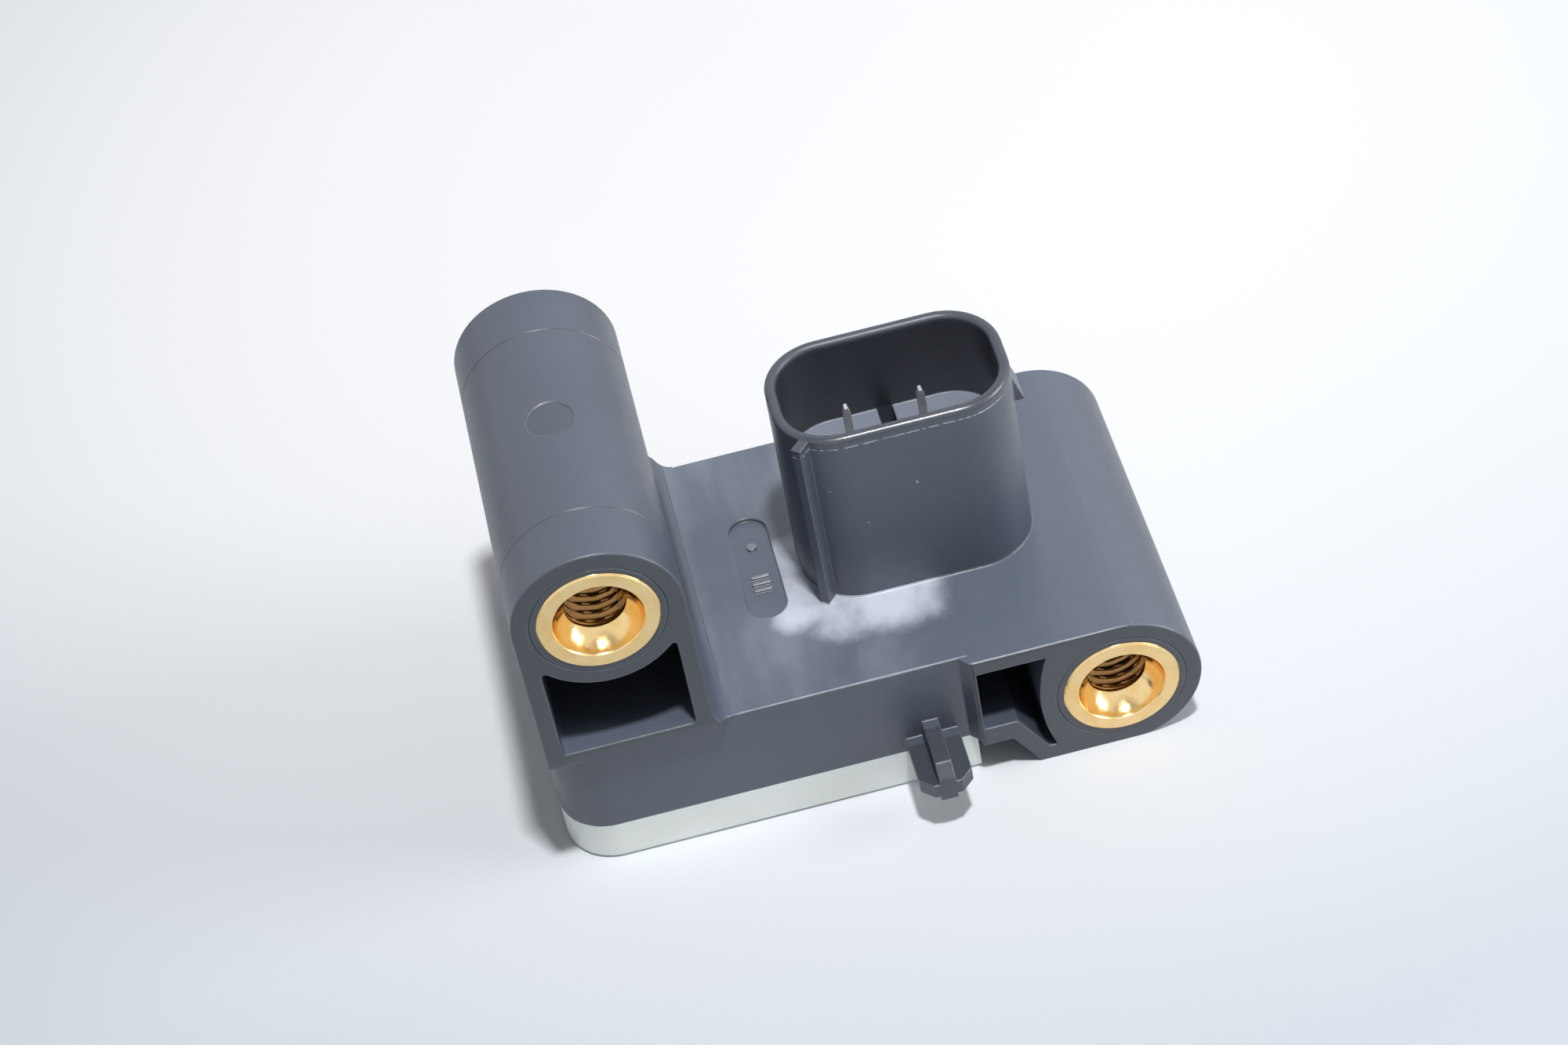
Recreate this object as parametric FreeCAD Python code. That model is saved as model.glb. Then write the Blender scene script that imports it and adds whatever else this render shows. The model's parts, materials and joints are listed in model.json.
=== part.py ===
import FreeCAD, Part
import math
import os

# Crash sensor: a moulded housing with two threaded mounting bosses and a plug shroud, a welded base
# cover, and a circuit board inside. Millimetres, +Z up, the mounting face looks towards -Y.
# Shapes are drawn from the tall boss's axis (X), the mounting face (Y) and the table (Z). On export
# they move sideways, so that the origin is the middle of the footprint.

# How far cutting shapes run past a surface, and how near two points count as one
CUT_MARGIN = 1.0
SAME_PLACE = 1e-4

# Mounting bosses
BOSS_LENGTH = 33.1
BOSS_SPACING_X = 40.7
TALL_BOSS_DIAMETER = 14.05
TALL_AXIS_ABOVE_TOP = 15.5
LOW_BOSS_DIAMETER = 13.85
LOW_FLAT_TRIM = 0.32
BOSS_EDGE_RADIUS = 0.25

# Parting lines and gate mark on the tube of the tall boss
PARTING_LINE_FROM_END = 5.45
PARTING_LINE_WIDTH = 0.1
PARTING_LINE_DEPTH = 0.06
GATE_MARK_DIAMETER = 4.0
GATE_MARK_DEPTH = 0.1
GATE_MARK_FROM_FRONT = 16.7

# Threaded inserts, for M6 screws
INSERT_DIAMETER = 10.0
INSERT_LENGTH = 16.0
INSERT_PROUD = 0.15
INSERT_EDGE_CHAMFER = 0.15
THREAD_BORE_DIAMETER = 5.0
MOUTH_DIAMETER = 7.4
MOUTH_DEPTH = 2.0
MOUTH_BULGE = 0.3
KEY_GROOVE_START = 5.0
KEY_GROOVE_WIDTH = 2.0
KEY_GROOVE_DEPTH = 0.5
RELIEF_DIAMETER = 6.6
RELIEF_LENGTH = 8.0
SEAT_RING_GAP = 0.5
SEAT_RING_WIDTH = 0.12
SEAT_RING_DEPTH = 0.12

# Box of the housing, with the base cover under it
BODY_LEFT_OF_AXIS = 7.2
BODY_FRONT_SETBACK = 1.05
BODY_BACK_SETBACK = 1.15
BODY_CORNER_RADIUS = 4.4
TOP_EDGE_RADIUS = 0.2
COVER_HEIGHT = 4.1
COVER_TO_BLOCK_GAP = 0.25
COVER_EDGE_RADIUS = 0.5
WALL = 1.75
ROOF = 2.0

# Walls under the tall boss and their pocket
POCKET_WALL = 1.45
POCKET_FLOOR_ABOVE_TOP = 1.35
POCKET_SKIN = 1.85
POCKET_DEPTH = 26.0
POCKET_CORNER_RADIUS = 0.4
POCKET_TIP_RADIUS = 0.3
FOOT_ABOVE_TOP = 0.75
FOOT_FILLET = 2.0

# Block that carries the low boss, with its web and pocket
BLOCK_LEFT_OF_LOW_AXIS = 12.25
STEP_WIDTH = 0.85
WEB_BOTTOM = 3.55
WEB_THICKNESS = 1.9
WEB_LENGTH = 2.6
STRUT_THICKNESS = 1.5
STRUT_RUN = 2.1
BLOCK_WALL = 0.3
BLOCK_ROOF = 1.4
BLOCK_POCKET_NECK = 6.95
BLOCK_POCKET_BOW = 0.95
BLOCK_POCKET_DEPTH = 24.0

# Plug shroud
SHROUD_HEIGHT = 18.0
SHROUD_WIDTH = 19.95
SHROUD_DEPTH = 12.75
SHROUD_DRAFT = 0.08
SHROUD_CORNER_RADIUS = 5.1
SHROUD_WALL = 0.95
SHROUD_RIM_RADIUS = 0.42
SHROUD_LEFT_OF_LOW_AXIS = 23.2
SHROUD_FRONT = 10.7
SHROUD_CAVITY_DEPTH = 8.5
FLOOR_SLOT_WIDTH = 1.35
FLOOR_SLOT_DEPTH = 3.0
KEY_RIB_WIDTH = 0.85
KEY_RIB_PROUD = 1.25
KEY_RIB_ANGLE = 230.0
KEY_RIB_BELOW_RIM = 0.25
RAMP_PROUD = 0.9
RAMP_HEIGHT = 2.7
RAMP_WIDTH = 3.0
RAMP_BELOW_RIM = 2.3

# Plug terminals
TERMINAL_SIZE = 0.64
TERMINAL_PITCH = 6.3
TERMINAL_OFFSET = -0.6
TERMINAL_TIP_BELOW_RIM = 2.4
TERMINAL_TIP_TAPER = 0.7
TERMINAL_TIP_SIZE = 0.26
TERMINAL_JOG = 5.3
LEFT_JOG_ABOVE_TOP = 5.0
RIGHT_JOG_ABOVE_TOP = 2.2
TERMINAL_BELOW_BOARD = 1.2

# Locating peg
PEG_SPAN = 4.5
PEG_RIB = 1.38
PEG_LENGTH = 5.95
PEG_CHAMFER = 1.05
PEG_ABOVE_TABLE = 4.95
PEG_LEFT_OF_BLOCK = 4.0
PEG_ROOT = 0.6
PEG_COVER_GAP = 0.15

# Marking recess on the top, with plain raised marks
RECESS_WIDTH = 3.4
RECESS_LENGTH = 12.3
RECESS_DEPTH = 0.3
RECESS_FROM_AXIS = 13.85
RECESS_FRONT = 10.95
MARK_HEIGHT = 0.2
MARK_BAR_LENGTH = 1.6
MARK_BAR_WIDTH = 0.35
MARK_BAR_PITCH = 0.8
MARK_BAR_COUNT = 3
MARK_DOT_DIAMETER = 0.9

# Base cover inside
COVER_FLOOR = 2.3
LIP_CLEARANCE = 0.15
LIP_THICKNESS = 0.9
LIP_HEIGHT = 1.2

# Circuit board and its stakes
BOARD_THICKNESS = 1.6
BOARD_TO_ROOF = 3.7
BOARD_CLEARANCE = 0.4
TERMINAL_HOLE_DIAMETER = 1.1
STAKE_POST_DIAMETER = 3.0
STAKE_DIAMETER = 1.5
STAKE_CLEARANCE = 0.1
STAKE_HEAD_DIAMETER = 2.4
STAKE_HEAD_HEIGHT = 0.6
STAKE_INSET = 2.6
SOLDER_DIAMETER = 2.0
SOLDER_TIP_DIAMETER = 1.0
SOLDER_HEIGHT = 0.8

# Accelerometer in its sixteen lead package
CHIP_LENGTH = 10.3
CHIP_WIDTH = 7.5
CHIP_HEIGHT = 2.25
CHIP_STANDOFF = 0.15
CHIP_X = 4.0
CHIP_Y = 14.0
LEAD_PITCH = 1.27
LEADS_PER_SIDE = 8
LEAD_WIDTH = 0.42
LEAD_THICKNESS = 0.25
LEAD_REACH = 1.4
LEAD_FOOT = 0.7

# Small parts on the board: length, width, height
SUPPLY_CAPACITOR_SIZE = (3.2, 2.5, 1.9)
BUS_CAPACITOR_SIZE = (3.2, 1.6, 1.4)
FILTER_CAPACITOR_SIZE = (2.0, 1.25, 1.1)
RESISTOR_SIZE = (2.0, 1.25, 0.55)
DIODE_SIZE = (4.3, 2.6, 2.1)
END_CAP_LENGTH = 0.4
END_CAP_PROUD = 0.05
DIODE_TAB_LENGTH = 0.9
DIODE_TAB_HEIGHT = 0.3
DIODE_TAB_WIDTH = 1.5
PARTS_ROW_X = 13.5
PARTS_ROW_MARGIN = 3.3
PARTS_IN_ROW = 6

# Heights and places that follow from the sizes above
tall_radius = TALL_BOSS_DIAMETER / 2
low_radius = LOW_BOSS_DIAMETER / 2
low_axis_z = low_radius - LOW_FLAT_TRIM
top_z = low_axis_z + low_radius
tall_axis_z = top_z + TALL_AXIS_ABOVE_TOP
foot_z = top_z + FOOT_ABOVE_TOP
body_left = -BODY_LEFT_OF_AXIS
body_front = BODY_FRONT_SETBACK
body_back = BOSS_LENGTH - BODY_BACK_SETBACK
block_left = BOSS_SPACING_X - BLOCK_LEFT_OF_LOW_AXIS
cover_right = block_left - COVER_TO_BLOCK_GAP
roof_z = top_z - ROOF
board_top = roof_z - BOARD_TO_ROOF
board_bottom = board_top - BOARD_THICKNESS
board_front = body_front + WALL + BOARD_CLEARANCE
board_back = body_back - WALL - BOARD_CLEARANCE
row_front = board_front + PARTS_ROW_MARGIN
row_pitch = (board_back - PARTS_ROW_MARGIN - row_front) / (PARTS_IN_ROW - 1)
rim_z = top_z + SHROUD_HEIGHT
shroud_left = BOSS_SPACING_X - SHROUD_LEFT_OF_LOW_AXIS
shroud_x = (shroud_left, shroud_left + SHROUD_WIDTH)
shroud_y = (SHROUD_FRONT, SHROUD_FRONT + SHROUD_DEPTH)
shroud_mid_x = sum(shroud_x) / 2
shroud_mid_y = sum(shroud_y) / 2
floor_z = rim_z - SHROUD_CAVITY_DEPTH
terminal_mid_x = shroud_mid_x + TERMINAL_OFFSET
peg_x = block_left - PEG_LEFT_OF_BLOCK
peg_tip = body_front - PEG_LENGTH
footprint_x = (min(body_left, -tall_radius) + BOSS_SPACING_X + low_radius) / 2
footprint_y = (min(peg_tip, -INSERT_PROUD) + BOSS_LENGTH) / 2


# Drawing helpers

def on_top(z):
    """Places a flat point (x, y) at the height z."""
    return lambda x, y: FreeCAD.Vector(x, y, z)


def on_front(y):
    """Places a flat point (x, z) at the depth y."""
    return lambda x, z: FreeCAD.Vector(x, y, z)


def on_side(x):
    """Places a flat point (y, z) at the sideways place x."""
    return lambda y, z: FreeCAD.Vector(x, y, z)


def outline(points, place, radius=0.0, rounded=None):
    """Closed wire through flat points. Corners listed in rounded, or all of them, get the radius."""
    count = len(points)
    rounded = range(count) if rounded is None else rounded
    corners = [FreeCAD.Vector(a, b, 0) for a, b in points]
    stretches = []
    for index, corner in enumerate(corners):
        if radius <= 0 or index not in rounded:
            stretches.append((corner, None, corner))
            continue
        back = (corners[index - 1] - corner).normalize()
        ahead = (corners[(index + 1) % count] - corner).normalize()
        half = back.getAngle(ahead) / 2
        bisector = (back + ahead).normalize()
        reach = radius / math.tan(half)
        middle = corner + bisector * (radius / math.sin(half) - radius)
        stretches.append((corner + back * reach, middle, corner + ahead * reach))
    edges = []
    for index, (start, middle, end) in enumerate(stretches):
        following = stretches[(index + 1) % count][0]
        if middle is not None:
            arc = Part.Arc(place(start.x, start.y), place(middle.x, middle.y), place(end.x, end.y))
            edges.append(arc.toShape())
        if end.distanceToPoint(following) > SAME_PLACE:
            edges.append(Part.LineSegment(place(end.x, end.y), place(following.x, following.y)).toShape())
    return Part.Wire(edges)


def solid_from(wire, x=0.0, y=0.0, z=0.0):
    """Fills a flat wire and pushes it along one direction."""
    return Part.Face(wire).extrude(FreeCAD.Vector(x, y, z))


def box(x, y, z):
    """Box between a low and a high value on each axis."""
    return Part.makeBox(x[1] - x[0], y[1] - y[0], z[1] - z[0], FreeCAD.Vector(x[0], y[0], z[0]))


def rod_y(x, z, diameter, y_start, y_end):
    """Round rod along Y."""
    along = FreeCAD.Vector(0, 1, 0)
    return Part.makeCylinder(diameter / 2, y_end - y_start, FreeCAD.Vector(x, y_start, z), along)


def rod_z(x, y, diameter, z_start, z_end):
    """Round rod along Z."""
    return Part.makeCylinder(diameter / 2, z_end - z_start, FreeCAD.Vector(x, y, z_start))


def rectangle(x, y):
    """The four corners of a rectangle, from the low corner, anticlockwise."""
    return [(x[0], y[0]), (x[1], y[0]), (x[1], y[1]), (x[0], y[1])]


def body_outline(inset, z, right):
    """Outline of the box seen from above, drawn in by an inset, with its left corners rounded."""
    corners = rectangle((body_left + inset, right), (body_front + inset, body_back - inset))
    return outline(corners, on_top(z), BODY_CORNER_RADIUS - inset, rounded=(0, 3))


def cavity(inset, z_start, z_end):
    """Space inside the box walls, drawn in by a further inset."""
    wire = body_outline(WALL + inset, z_start, cover_right - WALL - inset)
    return solid_from(wire, z=z_end - z_start)


# Threaded inserts

def insert(x, z):
    """Brass insert on its boss axis: dished mouth, plain thread bore and a keying groove."""
    front = -INSERT_PROUD
    outer = INSERT_DIAMETER / 2
    bore = THREAD_BORE_DIAMETER / 2
    mouth = MOUTH_DIAMETER / 2
    groove = outer - KEY_GROOVE_DEPTH
    groove_end = KEY_GROOVE_START + KEY_GROOVE_WIDTH
    back = front + INSERT_LENGTH
    steps = [
        (bore, front + MOUTH_DEPTH), (bore, back), (outer, back), (outer, groove_end),
        (groove, groove_end), (groove, KEY_GROOVE_START), (outer, KEY_GROOVE_START),
        (outer, front + INSERT_EDGE_CHAMFER), (outer - INSERT_EDGE_CHAMFER, front), (mouth, front),
    ]
    places = [FreeCAD.Vector(x + radius, y, z) for radius, y in steps]
    edges = [Part.LineSegment(a, b).toShape() for a, b in zip(places, places[1:])]
    dish = FreeCAD.Vector(x + (bore + mouth) / 2 + MOUTH_BULGE, front + MOUTH_DEPTH / 2, z)
    edges.append(Part.Arc(places[-1], dish, places[0]).toShape())
    face = Part.Face(Part.Wire(edges))
    return face.revolve(FreeCAD.Vector(x, 0, z), FreeCAD.Vector(0, 1, 0), 360)


def insert_seat(x, z):
    """Space that an insert takes in the housing, with the screw's relief behind it."""
    end = INSERT_LENGTH - INSERT_PROUD
    seat = insert(x, z).fuse(rod_y(x, z, THREAD_BORE_DIAMETER, -INSERT_PROUD, end))
    mouth = rod_y(x, z, MOUTH_DIAMETER, -INSERT_PROUD, MOUTH_DEPTH)
    return seat.fuse([mouth, rod_y(x, z, RELIEF_DIAMETER, end - MOUTH_DEPTH, end + RELIEF_LENGTH)])


# Housing

def end_edges(shape, low, high):
    """Edges that lie in a plane across Y and reach between two heights."""
    return [edge for edge in shape.Edges
            if edge.BoundBox.YLength < SAME_PLACE and low < edge.BoundBox.ZMax < high]


def main_box():
    """Box over the cover with a rounded top edge, and the slanted step up to the block's face."""
    rise = top_z - COVER_HEIGHT
    solid = solid_from(body_outline(0, COVER_HEIGHT, block_left + WALL), z=rise)
    inner = block_left - SAME_PLACE
    rim = [edge for edge in solid.Edges
           if edge.BoundBox.ZMin > top_z - SAME_PLACE and edge.BoundBox.XMin < inner]
    solid = solid.makeFillet(TOP_EDGE_RADIUS, rim)
    step = [(block_left - STEP_WIDTH, body_front), (block_left, 0), (block_left, body_front)]
    return solid.fuse(solid_from(outline(step, on_top(COVER_HEIGHT)), z=rise))


def tall_boss():
    """Tube on its two side walls, blended into the plate on its right, with both ends past the box."""
    root = top_z - ROOF / 2
    blend = FOOT_FILLET * (1 - math.sqrt(0.5))
    place = on_front(0)
    left_top = place(-tall_radius, tall_axis_z)
    right_top = place(tall_radius, tall_axis_z)
    blend_top = place(tall_radius, top_z + FOOT_FILLET)
    blend_foot = place(tall_radius + FOOT_FILLET, top_z)
    root_right = place(tall_radius + FOOT_FILLET, root)
    root_left = place(-tall_radius, root)
    section = Part.Wire([
        Part.LineSegment(root_left, left_top).toShape(),
        Part.Arc(left_top, place(0, tall_axis_z + tall_radius), right_top).toShape(),
        Part.LineSegment(right_top, blend_top).toShape(),
        Part.Arc(blend_top, place(tall_radius + blend, top_z + blend), blend_foot).toShape(),
        Part.LineSegment(blend_foot, root_right).toShape(),
        Part.LineSegment(root_right, root_left).toShape(),
    ])
    boss = solid_from(section, y=BOSS_LENGTH)
    boss_top = tall_axis_z + tall_radius + SAME_PLACE
    boss = boss.makeFillet(BOSS_EDGE_RADIUS, end_edges(boss, tall_axis_z - SAME_PLACE, boss_top))
    reach = tall_radius + 2 * FOOT_FILLET
    before = -CUT_MARGIN
    behind = BOSS_LENGTH + CUT_MARGIN
    under_front = [(0, foot_z), (body_front, top_z), (body_front, root), (before, root), (before, foot_z)]
    under_back = [(BOSS_LENGTH, foot_z), (body_back, top_z), (body_back, root),
                  (behind, root), (behind, foot_z)]
    for profile in (under_front, under_back):
        boss = boss.cut(solid_from(outline(profile, on_side(-reach)), x=2 * reach))
    return boss


def seat_ring(x, z):
    """Fine ring line in the boss face, round the insert."""
    inner = INSERT_DIAMETER + 2 * SEAT_RING_GAP
    ring = rod_y(x, z, inner + 2 * SEAT_RING_WIDTH, -CUT_MARGIN, SEAT_RING_DEPTH)
    return ring.cut(rod_y(x, z, inner, -CUT_MARGIN, SEAT_RING_DEPTH))


def tube_marks():
    """Two parting lines over the tube and the round gate mark on its top."""
    marks = []
    outside = TALL_BOSS_DIAMETER + 2 * CUT_MARGIN
    for y in (PARTING_LINE_FROM_END, BOSS_LENGTH - PARTING_LINE_FROM_END):
        end = y + PARTING_LINE_WIDTH
        ring = rod_y(0, tall_axis_z, outside, y, end)
        ring = ring.cut(rod_y(0, tall_axis_z, TALL_BOSS_DIAMETER - 2 * PARTING_LINE_DEPTH, y, end))
        upper = box((-outside, outside), (y, end), (tall_axis_z, tall_axis_z + outside))
        marks.append(ring.common(upper))
    gate = rod_z(0, GATE_MARK_FROM_FRONT, GATE_MARK_DIAMETER, tall_axis_z, tall_axis_z + outside)
    core = TALL_BOSS_DIAMETER - 2 * GATE_MARK_DEPTH
    marks.append(gate.cut(rod_y(0, tall_axis_z, core, 0, BOSS_LENGTH)))
    return marks


def tall_pocket():
    """Pocket under the tall insert, arched below the tube's skin, with rounded tips."""
    half = tall_radius - POCKET_WALL
    span = rectangle((-half, half), (top_z + POCKET_FLOOR_ABOVE_TOP, tall_axis_z))
    mouth = outline(span, on_front(-CUT_MARGIN), POCKET_CORNER_RADIUS)
    space = solid_from(mouth, y=POCKET_DEPTH + CUT_MARGIN)
    skin = INSERT_DIAMETER + 2 * POCKET_SKIN
    space = space.cut(rod_y(0, tall_axis_z, skin, -CUT_MARGIN, POCKET_DEPTH))
    tip_z = tall_axis_z - math.sqrt(skin ** 2 / 4 - half ** 2)
    tips = [edge for edge in space.Edges if abs(edge.BoundBox.ZMin - tip_z) < SAME_PLACE]
    return space.makeFillet(POCKET_TIP_RADIUS, tips)


def low_block():
    """Low boss with its flat foot, and the block that joins it to the box over a bent web."""
    place = on_front(0)
    flat_half = math.sqrt(low_radius ** 2 - low_axis_z ** 2)
    web_end = block_left + WEB_LENGTH
    boss_top = place(BOSS_SPACING_X, top_z)
    flat_right = place(BOSS_SPACING_X + flat_half, 0)
    corners = [(web_end + STRUT_RUN, 0), (web_end, WEB_BOTTOM), (block_left, WEB_BOTTOM), (block_left, top_z)]
    places = [flat_right] + [place(x, z) for x, z in corners] + [boss_top]
    edges = [Part.LineSegment(a, b).toShape() for a, b in zip(places, places[1:])]
    edges.append(Part.Arc(boss_top, place(BOSS_SPACING_X + low_radius, low_axis_z), flat_right).toShape())
    block = solid_from(Part.Wire(edges), y=BOSS_LENGTH)
    return block.makeFillet(BOSS_EDGE_RADIUS, end_edges(block, top_z - SAME_PLACE, top_z + SAME_PLACE))


def block_pocket():
    """Pocket in the block's face: it follows the bent web, and bows in towards the box at the boss."""
    left = block_left + BLOCK_WALL
    roof = top_z - BLOCK_ROOF
    web_top = WEB_BOTTOM + WEB_THICKNESS
    lean = math.hypot(STRUT_RUN, WEB_BOTTOM)
    strut_x = block_left + WEB_LENGTH + STRUT_THICKNESS * lean / WEB_BOTTOM
    slope = STRUT_RUN / WEB_BOTTOM
    toe_z = STRUT_THICKNESS
    bend_x = strut_x - slope * WEB_THICKNESS
    toe_x = strut_x + slope * (WEB_BOTTOM - toe_z)
    side_x = BOSS_SPACING_X - BLOCK_POCKET_NECK + BLOCK_POCKET_BOW
    place = on_front(-CUT_MARGIN)
    corners = [(side_x, roof), (left, roof), (left, web_top), (bend_x, web_top),
               (toe_x, toe_z), (side_x, toe_z)]
    places = [place(x, z) for x, z in corners]
    edges = [Part.LineSegment(a, b).toShape() for a, b in zip(places, places[1:])]
    neck = place(side_x - BLOCK_POCKET_BOW, (roof + toe_z) / 2)
    edges.append(Part.Arc(places[-1], neck, places[0]).toShape())
    return solid_from(Part.Wire(edges), y=BLOCK_POCKET_DEPTH + CUT_MARGIN)


def shroud_outline(grow, z, radius):
    """Outline of the plug shroud at a height, grown or drawn in from its size at the rim."""
    corners = rectangle((shroud_x[0] - grow, shroud_x[1] + grow), (shroud_y[0] - grow, shroud_y[1] + grow))
    return outline(corners, on_top(z), radius)


def shroud_shell():
    """Plug shroud with slightly drafted sides, a rounded rim and its key rib and locking ramp."""
    base_z = top_z - ROOF / 2
    foot = shroud_outline(SHROUD_DRAFT, base_z, SHROUD_CORNER_RADIUS + SHROUD_DRAFT)
    rim = shroud_outline(0, rim_z, SHROUD_CORNER_RADIUS)
    shell = Part.makeLoft([foot, rim], True, True)
    shell = shell.cut(shroud_space(floor_z))
    lip = [edge for edge in shell.Edges if abs(edge.BoundBox.ZMin - rim_z) < SAME_PLACE]
    shell = shell.makeFillet(SHROUD_RIM_RADIUS, lip)
    return shell.fuse([key_rib(base_z), locking_ramp()])


def shroud_space(z_start):
    """Space inside the shroud walls, from a height up past the rim."""
    wire = shroud_outline(-SHROUD_WALL, z_start, SHROUD_CORNER_RADIUS - SHROUD_WALL)
    return solid_from(wire, z=rim_z + CUT_MARGIN - z_start)


def key_rib(base_z):
    """Key rib down the shroud's front left corner."""
    reach = SHROUD_CORNER_RADIUS + KEY_RIB_PROUD
    rib = box((SHROUD_CORNER_RADIUS - SHROUD_WALL / 2, reach), (-KEY_RIB_WIDTH / 2, KEY_RIB_WIDTH / 2),
              (base_z, rim_z - KEY_RIB_BELOW_RIM))
    rib.rotate(FreeCAD.Vector(0, 0, 0), FreeCAD.Vector(0, 0, 1), KEY_RIB_ANGLE)
    rib.translate(FreeCAD.Vector(shroud_x[0] + SHROUD_CORNER_RADIUS, shroud_y[0] + SHROUD_CORNER_RADIUS, 0))
    return rib


def locking_ramp():
    """Tooth on the shroud's right end that the plug's latch snaps under."""
    high = rim_z - RAMP_BELOW_RIM
    root = shroud_x[1] - SHROUD_WALL / 2
    tooth = [(root, high), (shroud_x[1], high), (shroud_x[1] + RAMP_PROUD, high - RAMP_HEIGHT),
             (root, high - RAMP_HEIGHT)]
    return solid_from(outline(tooth, on_front(shroud_mid_y - RAMP_WIDTH / 2)), y=RAMP_WIDTH)


def floor_slot():
    """Slot across the shroud's floor, between the two terminals."""
    x = (shroud_mid_x - FLOOR_SLOT_WIDTH / 2, shroud_mid_x + FLOOR_SLOT_WIDTH / 2)
    y = (shroud_y[0] + SHROUD_WALL, shroud_y[1] - SHROUD_WALL)
    return box(x, y, (floor_z - FLOOR_SLOT_DEPTH, floor_z + CUT_MARGIN))


def locating_peg():
    """Peg of two crossed ribs with chamfered tips, clear of the cover behind its lower rib."""
    half = PEG_SPAN / 2
    root = body_front + PEG_ROOT
    shoulder = peg_tip + PEG_CHAMFER
    rib = [(root, -half), (root, half), (shoulder, half), (peg_tip, half - PEG_CHAMFER),
           (peg_tip, PEG_CHAMFER - half), (shoulder, -half)]
    upright = [(y, PEG_ABOVE_TABLE + offset) for y, offset in rib]
    level = [(peg_x + offset, y) for y, offset in rib]
    peg = solid_from(outline(upright, on_side(peg_x - PEG_RIB / 2)), x=PEG_RIB)
    peg = peg.fuse(solid_from(outline(level, on_top(PEG_ABOVE_TABLE - PEG_RIB / 2)), z=PEG_RIB))
    behind = box((peg_x - PEG_SPAN, peg_x + PEG_SPAN), (body_front - PEG_COVER_GAP, root + CUT_MARGIN),
                 (PEG_ABOVE_TABLE - PEG_SPAN, COVER_HEIGHT))
    return peg.cut(behind)


def marking_recess():
    """Round ended recess on the top, less a row of plain raised bars and a dot."""
    radius = RECESS_WIDTH / 2
    back = RECESS_FRONT + RECESS_LENGTH
    low = top_z - RECESS_DEPTH
    depth = (low, top_z + CUT_MARGIN)
    recess = box((RECESS_FROM_AXIS - radius, RECESS_FROM_AXIS + radius),
                 (RECESS_FRONT + radius, back - radius), depth)
    for y in (RECESS_FRONT + radius, back - radius):
        recess = recess.fuse(rod_z(RECESS_FROM_AXIS, y, RECESS_WIDTH, *depth))
    marks = [rod_z(RECESS_FROM_AXIS, back - RECESS_WIDTH, MARK_DOT_DIAMETER, low, low + MARK_HEIGHT)]
    for index in range(MARK_BAR_COUNT):
        y = RECESS_FRONT + RECESS_WIDTH + index * MARK_BAR_PITCH
        marks.append(box((RECESS_FROM_AXIS - MARK_BAR_LENGTH / 2, RECESS_FROM_AXIS + MARK_BAR_LENGTH / 2),
                         (y, y + MARK_BAR_WIDTH), (low, low + MARK_HEIGHT)))
    return recess.cut(marks)


def stake_places():
    """Where the board's four stakes stand, inside its corners."""
    inset = WALL + BOARD_CLEARANCE + STAKE_INSET
    across = (body_left + inset, cover_right - inset)
    along = (body_front + inset, body_back - inset)
    return [(x, y) for x in across for y in along]


def board_stakes():
    """Posts under the roof, each with a stake through the board and a formed head below it."""
    stakes = []
    for x, y in stake_places():
        post = rod_z(x, y, STAKE_POST_DIAMETER, board_top, roof_z + ROOF / 2)
        pin = rod_z(x, y, STAKE_DIAMETER, board_bottom, board_top)
        head = rod_z(x, y, STAKE_HEAD_DIAMETER, board_bottom - STAKE_HEAD_HEIGHT, board_bottom)
        stakes.append(post.fuse([pin, head]))
    return stakes


def housing():
    """The whole moulding, with the seats of the inserts and terminals cut from it."""
    solid = main_box().fuse([tall_boss(), low_block()])
    solid = solid.cut([tall_pocket(), block_pocket(), marking_recess()] + tube_marks())
    solid = solid.cut(cavity(0, COVER_HEIGHT, roof_z))
    solid = solid.fuse([shroud_shell(), locating_peg()] + board_stakes())
    for x, z in ((0, tall_axis_z), (BOSS_SPACING_X, low_axis_z)):
        solid = solid.cut([insert_seat(x, z), seat_ring(x, z)])
    solid = solid.cut(floor_slot())
    solid = solid.cut([terminal(-1, LEFT_JOG_ABOVE_TOP), terminal(1, RIGHT_JOG_ABOVE_TOP)])
    return solid.removeSplitter()


# Base cover

def base_cover():
    """Shallow lid with a rounded lower edge and a lip that locates it inside the housing."""
    cover = solid_from(body_outline(0, 0, cover_right), z=COVER_HEIGHT)
    lower = [edge for edge in cover.Edges if edge.BoundBox.ZMax < SAME_PLACE]
    cover = cover.makeFillet(COVER_EDGE_RADIUS, lower)
    lip_top = COVER_HEIGHT + LIP_HEIGHT
    cover = cover.fuse(cavity(LIP_CLEARANCE, COVER_HEIGHT - LIP_HEIGHT, lip_top))
    inside = body_outline(WALL + LIP_CLEARANCE + LIP_THICKNESS, COVER_FLOOR,
                          cover_right - WALL - LIP_CLEARANCE - LIP_THICKNESS)
    return cover.cut(solid_from(inside, z=lip_top)).removeSplitter()


# Terminals

def terminal_places(side):
    """Sideways places of a terminal in the plug and at the board, for side -1 or +1."""
    plug_x = terminal_mid_x + side * TERMINAL_PITCH / 2
    return plug_x, plug_x - TERMINAL_JOG


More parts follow.
